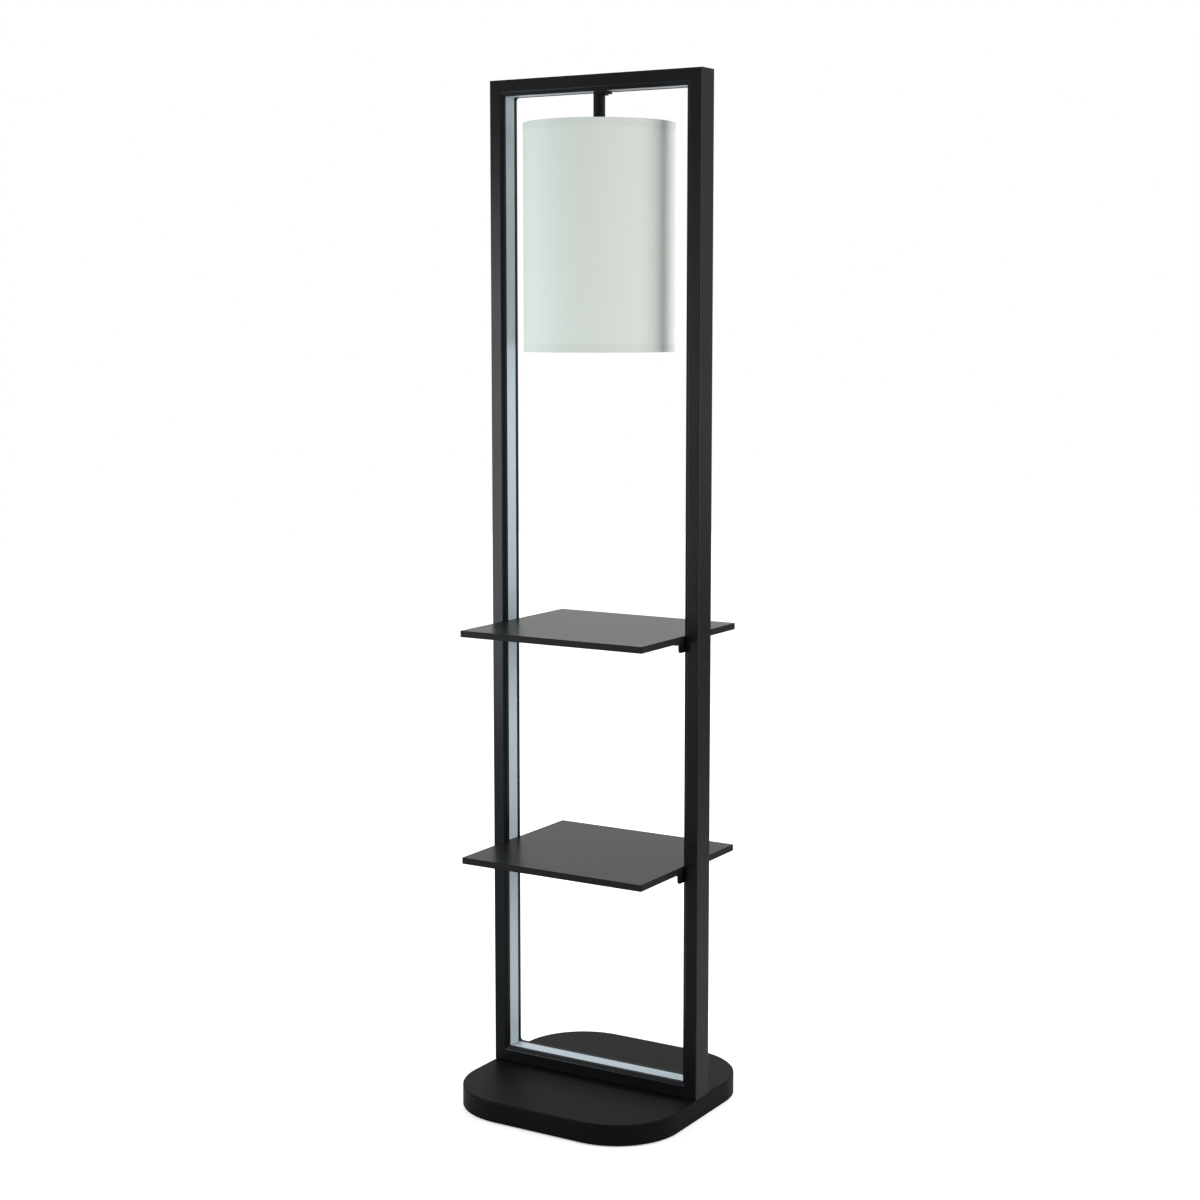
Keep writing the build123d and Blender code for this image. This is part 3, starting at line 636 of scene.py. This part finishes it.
# Plain weave on a drum: around is the way round the cloth in metres, z the way up.
def drumCloth(name, tone=1.0):
    finish = Finish(name)
    x, y, z = finish.axes()
    radius = shadeBox[1].x
    around = y.angleFrom(x) * radius
    wave = 2 * math.pi / cloth["threadPitch"]
    warp = (around * wave).sine()
    weft = (z * wave).sine()
    over = finish.fade(warp * weft, -cloth["threadBlend"], cloth["threadBlend"])
    flat = finish.add("ShaderNodeCombineXYZ", {}, {"X": around, "Y": z, "Z": 0.0})
    long = 1.0 / cloth["slubLength"]
    fine = 0.5 / cloth["threadPitch"]
    slubWeft = finish.noise(1.0, (long, fine, 1.0), 3.0, flat)
    slubWarp = finish.noise(1.0, (fine, 0.6 * long, 1.0), 3.0, flat)
    streak = finish.fade(slubWeft.most(slubWarp), cloth["slubStart"], cloth["slubEnd"])
    cloud = finish.noise(cloth["cloudScale"], cloth["cloudStretch"], 2.0, flat)
    thick = weaveDepths["over"] * over + weaveDepths["slubWeft"] * slubWeft
    thick = thick + weaveDepths["slubWarp"] * slubWarp
    seamAt = math.radians(cloth["seamTurn"]) * radius
    seamEdge = cloth["seamWidth"] / 2
    seam = finish.fade(abs(around - seamAt), seamEdge, seamEdge + cloth["seamBlend"], 1.0, 0.0)
    shade = weaveTones["over"] * over + weaveTones["cloud"] * cloud
    shade = shade + weaveTones["streak"] * (1.0 - streak * cloth["slub"])
    shade = shade + weaveTones["slubWarp"] * slubWarp - cloth["seamTone"] * seam
    return finish.surface({
        "Base Color": finish.mixColour(shade, toned(cloth["weft"], tone), toned(cloth["warp"], tone)),
        "Roughness": cloth["roughness"] + cloth["slubRoughness"] * (slubWeft - 0.5),
        "Specular IOR Level": cloth["specular"],
        "Sheen Weight": cloth["sheen"],
        "Sheen Roughness": cloth["sheenRoughness"],
        "Normal": finish.bump(thick, cloth["threadDepth"], finish.bump(seam, cloth["seamDepth"])),
    })


film = {
    "dim": (0.76, 0.77, 0.75),
    "bright": (0.82, 0.82, 0.80),
    "cloudScale": 12.0,
    "cloudDepth": 0.05 * mm,
    "speckScale": 900.0,
    "speckRoughness": 0.08,
    "roughness": 0.38,
    "specular": 0.4,
}


def shadeFilm():
    finish = Finish("shade_film")
    cloud = finish.noise(film["cloudScale"])
    speck = finish.noise(film["speckScale"])
    return finish.surface({
        "Base Color": finish.mixColour(cloud, rgb(*film["dim"]), rgb(*film["bright"])),
        "Roughness": film["roughness"] + film["speckRoughness"] * (speck - 0.5),
        "Specular IOR Level": film["specular"],
        "Normal": finish.bump(cloud, film["cloudDepth"]),
    })


finishes = {
    "frame_paint": paintedSteel("frame_powder_coat", mitred=True, edgeIor=1.2),
    "channel_paint": anodisedChannel(),
    "milky_cover": milkyCover(),
    "light_strip": ledStrip(),
    "base_paint": paintedSteel("base_powder_coat", lighter=0.8, roughness=0.50, specular=0.035, edgeGloss=0.0),
    "bottom_sheet": paintedSteel("bottom_sheet_paint", lighter=3.0, roughness=0.5, specular=0.3),
    "ballast": castIron(),
    "rubber": blackRubber(),
    "plated_steel": platedMetal("zinc_plate", (0.66, 0.66, 0.64), 0.34),
    "driver_case": mouldedPlastic("white_case", (0.78, 0.78, 0.76), 0.5),
    "terminal_plastic": mouldedPlastic("natural_nylon", (0.72, 0.71, 0.64), 0.45),
    "lead_sleeve": mouldedPlastic("lead_sleeve", (0.030, 0.030, 0.031), 0.5, 0.005 * mm),
    "shelf_board": shelfBoard(),
    "bracket_paint": paintedSteel("bracket_powder_coat"),
    "black_screw": platedMetal("black_oxide", (0.045, 0.045, 0.048), 0.38),
    "hanger_paint": paintedSteel("hanger_powder_coat", edgeGloss=0.0),
    "holder_plastic": mouldedPlastic("black_phenolic", (0.012, 0.012, 0.012), 0.32, 0.006 * mm, 0.3),
    "brass": platedMetal("brass", (0.80, 0.62, 0.30), 0.30),
    "bulb_glass": frostedGlass(),
    "shade_cloth": drumCloth("drum_cloth"),
    "shade_wire": mouldedPlastic("white_wire_coat", (0.80, 0.80, 0.78), 0.36, 0.004 * mm),
}


def dressNodes():
    for part in frame["record"]["subparts"]:
        piece = frame["nodes"][part["node"]]
        for place in piece.material_slots:
            place.material = finishes[part["material_slot"]]


dressNodes()
print("finishes are on", len(frame["nodes"]), "nodes")


# A geometry tree with named inputs. bake() turns what it grows into a plain piece.
class Growth(Tree):
    def __init__(self, name, values):
        super().__init__(bpy.data.node_groups.new(name, "GeometryNodeTree"))
        self.values = values
        self.nodeTree.interface.new_socket(name="Geometry", in_out="OUTPUT", socket_type="NodeSocketGeometry")
        for label, value in values.items():
            kind = "NodeSocketInt" if isinstance(value, int) else "NodeSocketFloat"
            self.nodeTree.interface.new_socket(name=label, in_out="INPUT", socket_type=kind)
        self.group = self.add("NodeGroupInput")

    def size(self, label):
        return self.group.out(label)

    def shift(self, shape, x=0.0, z=0.0):
        step = self.add("ShaderNodeCombineXYZ", {}, {"X": x, "Z": z})
        return self.add("GeometryNodeTransform", {}, {"Geometry": shape, "Translation": step})

    def bake(self, shape, name, body, slotName, finish, sharpAngle=40.0):
        real = self.add("GeometryNodeRealizeInstances", {}, {"Geometry": shape})
        painted = self.add("GeometryNodeSetMaterial", {}, {"Geometry": real, "Material": finish})
        self.add("NodeGroupOutput", {}, {"Geometry": painted})
        carrier = bpy.data.objects.new(name, bpy.data.meshes.new(name + "_seed"))
        bpy.context.scene.collection.objects.link(carrier)
        growth = carrier.modifiers.new("growth", "NODES")
        growth.node_group = self.nodeTree
        for item in self.nodeTree.interface.items_tree:
            if item.in_out == "INPUT":
                growth[item.identifier] = self.values[item.name]
        depsgraph = bpy.context.evaluated_depsgraph_get()
        mesh = bpy.data.meshes.new_from_object(carrier.evaluated_get(depsgraph))
        carrier.modifiers.remove(growth)
        carrier.data = mesh
        mesh.name = name
        mesh.materials.clear()
        mesh.materials.append(finish)
        mesh.shade_smooth()
        mesh.set_sharp_from_angle(angle=math.radians(sharpAngle))
        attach(carrier, body)
        return carrier


drum = {
    "clothWall": 0.45 * mm,
    "clothRound": 0.2 * mm,
    "filmGap": 0.02 * mm,
    "filmWall": 0.30 * mm,
    "filmRound": 0.1 * mm,
    "filmInset": 0.3 * mm,    # film's edges, in from the cloth's
    "tapeHeight": 12.0 * mm,
    "tapeBeyond": 0.2 * mm,   # tape that reaches past the cloth's edge
    "tapeWall": 0.35 * mm,
    "tapeRound": 0.15 * mm,
    "tapeTone": 0.95,
    "sides": 256,
}


# A thin drum or tape: a tall rounded rectangle swept round a circle.
def hoop(name, radius, low, high, wall, rounding, finish):
    tree = Growth(name + "_tree", {
        "Radius": radius,
        "Height": high - low,
        "Middle": (high + low) / 2,
        "Wall": wall,
        "Rounding": rounding,
        "Sides": drum["sides"],
    })
    ring = tree.add("GeometryNodeCurvePrimitiveCircle", {}, {
        "Resolution": tree.size("Sides"), "Radius": tree.size("Radius")})
    outline = tree.add("GeometryNodeCurvePrimitiveQuadrilateral", {}, {
        "Width": tree.size("Wall"), "Height": tree.size("Height")})
    rounded = tree.add("GeometryNodeFilletCurve", {}, {
        "Curve": outline, "Radius": tree.size("Rounding")})
    swept = tree.add("GeometryNodeCurveToMesh", {}, {"Curve": ring, "Profile Curve": rounded})
    return tree.bake(tree.shift(swept, z=tree.size("Middle")), name, "root", "shade_cloth", finish)


def makeShade():
    low = shadeBox[0].z
    high = shadeBox[1].z
    outside = shadeBox[1].x - drum["tapeWall"] / 2
    clothRadius = outside - drum["clothWall"] / 2
    clothPiece = hoop("shade_drum", clothRadius, low, high, drum["clothWall"], drum["clothRound"],
                      finishes["shade_cloth"])
    tapeFinish = drumCloth("tape_cloth", drum["tapeTone"])
    tapeStarts = {"shade_bottom_tape": low - drum["tapeBeyond"], "shade_top_tape": high - drum["tapeHeight"]}
    for name, start in tapeStarts.items():
        end = start + drum["tapeHeight"] + drum["tapeBeyond"]
        hoop(name, outside, start, end, drum["tapeWall"], drum["tapeRound"], tapeFinish)
    filmRadius = clothRadius - drum["clothWall"] / 2 - drum["filmGap"] - drum["filmWall"] / 2
    hoop("shade_film", filmRadius, low + drum["filmInset"], high - drum["filmInset"], drum["filmWall"],
         drum["filmRound"], shadeFilm())
    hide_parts("shade_cloth")
    2 * math.pi * clothRadius + cloth["seamWidth"]


makeShade()
print("the shade is made")


thread = {
    "pitch": 2.5 * mm,
    "ridge": 0.45 * mm,      # radius of the ridge, which stands half proud of the skirt
    "radius": 18.9 * mm,
    "endGap": 1.0 * mm,
    "stepsInTurn": 96,
    "ridgeSides": 12,
}


# The coarse outside thread that the shade's nut runs on, where it shows below the nut.
def makeHolderThread():
    low = holderBox[0].z + thread["endGap"]
    high = nutBox[0].z - thread["endGap"]
    tree = Growth("holder_thread_tree", {
        "Radius": thread["radius"],
        "Low": low,
        "Rise": high - low,
        "Turns": (high - low) / thread["pitch"],
        "Ridge": thread["ridge"],
        "Steps": thread["stepsInTurn"],
    })
    helix = tree.add("GeometryNodeCurveSpiral", {}, {
        "Resolution": tree.size("Steps"), "Rotations": tree.size("Turns"),
        "Start Radius": tree.size("Radius"), "End Radius": tree.size("Radius"), "Height": tree.size("Rise")})
    section = tree.add("GeometryNodeCurvePrimitiveCircle", {}, {
        "Resolution": thread["ridgeSides"], "Radius": tree.size("Ridge")})
    ridge = tree.add("GeometryNodeCurveToMesh", {}, {
        "Curve": helix, "Profile Curve": section, "Fill Caps": True})
    tree.bake(tree.shift(ridge, z=tree.size("Low")), "holder_thread", "root", "holder_plastic",
              finishes["holder_plastic"])


knurl = {
    "ribs": 24,
    "length": 3.0 * mm,
    "ribRadius": 0.42 * mm,
    "ribSides": 12,
    "discRadius": 6.95 * mm,
    "faceGap": 0.4 * mm,      # between the lampholder and the knob's inner face
    "start": 0.45 * mm,       # from the knob's inner face
}


# Ribs round the disc of the switch knob, along its axis.
def makeKnobRibs():
    holderRadius = boxOf("lampholder_cap")[1].x
    face = holderRadius + knurl["faceGap"]
    tree = Growth("knob_rib_tree", {
        "Ribs": knurl["ribs"],
        "Disc": knurl["discRadius"],
        "Rib": knurl["ribRadius"],
        "Length": knurl["length"],
        "Across": face + knurl["start"] + knurl["length"] / 2,
        "Height": (knobBox[0].z + knobBox[1].z) / 2,
    })
    disc = tree.add("GeometryNodeCurvePrimitiveCircle", {}, {
        "Resolution": tree.size("Ribs"), "Radius": tree.size("Disc")})
    rib = tree.add("GeometryNodeMeshCylinder", {}, {
        "Vertices": knurl["ribSides"], "Radius": tree.size("Rib"), "Depth": tree.size("Length")})
    places = tree.add("GeometryNodeCurveToPoints", {"mode": "EVALUATED"}, {"Curve": disc})
    ribs = tree.add("GeometryNodeInstanceOnPoints", {}, {"Points": places, "Instance": rib})
    onSide = tree.add("GeometryNodeTransform", {}, {
        "Geometry": ribs, "Rotation": (0.0, math.pi / 2, 0.0)})
    placed = tree.shift(onSide, x=tree.size("Across"), z=tree.size("Height"))
    tree.bake(placed, "knob_ribs", "switch_knob", "holder_plastic", finishes["holder_plastic"])


weld = {
    "arms": 3,
    "firstAngle": 60.0,       # degrees round from the lamp's right
    "radius": 2.1 * mm,
    "flat": 0.75,
    "inset": 1.0 * mm,        # in from the ring wire's centre
    "wireRadius": 1.5 * mm,
    "subdivisions": 4,
}


# Beads where the spider's arms are welded to the top ring.
def makeWeldBeads():
    tree = Growth("weld_bead_tree", {
        "Arms": weld["arms"],
        "Ring": topRingBox[1].x - weld["wireRadius"] - weld["inset"],
        "Bead": weld["radius"],
        "Height": (topRingBox[0].z + topRingBox[1].z) / 2,
    })
    ring = tree.add("GeometryNodeCurvePrimitiveCircle", {}, {
        "Resolution": tree.size("Arms"), "Radius": tree.size("Ring")})
    places = tree.add("GeometryNodeCurveToPoints", {"mode": "EVALUATED"}, {"Curve": ring})
    bead = tree.add("GeometryNodeMeshIcoSphere", {}, {
        "Radius": tree.size("Bead"), "Subdivisions": weld["subdivisions"]})
    beads = tree.add("GeometryNodeInstanceOnPoints", {}, {
        "Points": places, "Instance": bead, "Scale": (1.0, 1.0, weld["flat"])})
    turned = tree.add("GeometryNodeTransform", {}, {
        "Geometry": beads, "Rotation": (0.0, 0.0, math.radians(weld["firstAngle"]))})
    placed = tree.shift(turned, z=tree.size("Height"))
    tree.bake(placed, "weld_beads", "root", "shade_wire", finishes["shade_wire"])


foot = {
    "edgeRound": 0.6 * mm,
    "grooves": 3,
    "grooveDepth": 0.35 * mm,
    "grooveWidth": 1.4 * mm,
    "sides": 96,
    "roundSteps": 4,
    "sharpAngle": 35.0,
}


# Half outline of a foot, from the middle of its underside to the middle of its top.
def footOutline(radius, height):
    points = [(0.0, 0.0)]
    spacing = radius / (foot["grooves"] + 1)
    half = foot["grooveWidth"] / 2
    for number in range(1, foot["grooves"] + 1):
        middle = number * spacing
        points += [(middle - half, 0.0), (middle - half / 2, foot["grooveDepth"]),
                   (middle + half / 2, foot["grooveDepth"]), (middle + half, 0.0)]
    rounding = foot["edgeRound"]
    for step in range(foot["roundSteps"] + 1):
        angle = math.pi / 2 * step / foot["roundSteps"]
        points.append((radius - rounding + rounding * math.sin(angle), rounding - rounding * math.cos(angle)))
    return points + [(radius, height), (0.0, height)]


# A solid of revolution about an upright axis; its outline starts and ends on the axis.
def turn(work, outline, sides, x, y, z):
    rings = []
    for radius, height in outline:
        if radius == 0.0:
            rings.append([work.verts.new((x, y, z + height))] * sides)
            continue
        angles = [2 * math.pi * number / sides for number in range(sides)]
        rings.append([work.verts.new((x + radius * math.cos(a), y + radius * math.sin(a), z + height))
                      for a in angles])
    for lower, upper in zip(rings, rings[1:]):
        for number in range(sides):
            following = (number + 1) % sides
            corners = [lower[number], upper[number], upper[following], lower[following]]
            work.faces.new(list(dict.fromkeys(corners)))


def makeFeet():
    low, high = padBox
    rightPads = [point.co.x for point in frame["nodes"]["base_pads"].data.vertices if point.co.x > 0]
    radius = (high.x - min(rightPads)) / 2
    work = bmesh.new()
    for sideX in (-1, 1):
        for sideY in (-1, 1):
            turn(work, footOutline(radius, high.z - low.z), foot["sides"],
                 sideX * (high.x - radius), sideY * (high.y - radius), low.z)
    bmesh.ops.recalc_face_normals(work, faces=work.faces)
    mesh = bpy.data.meshes.new("rubber_feet")
    work.to_mesh(mesh)
    work.free()
    mesh.shade_smooth()
    mesh.set_sharp_from_angle(angle=math.radians(foot["sharpAngle"]))
    mesh.materials.append(finishes["rubber"])
    piece = bpy.data.objects.new("rubber_feet", mesh)
    bpy.context.scene.collection.objects.link(piece)
    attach(piece, "root")
    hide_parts("base_pads")


makeHolderThread()
makeKnobRibs()
makeWeldBeads()
makeFeet()
print("the small pieces are made")


print("the looks are done")
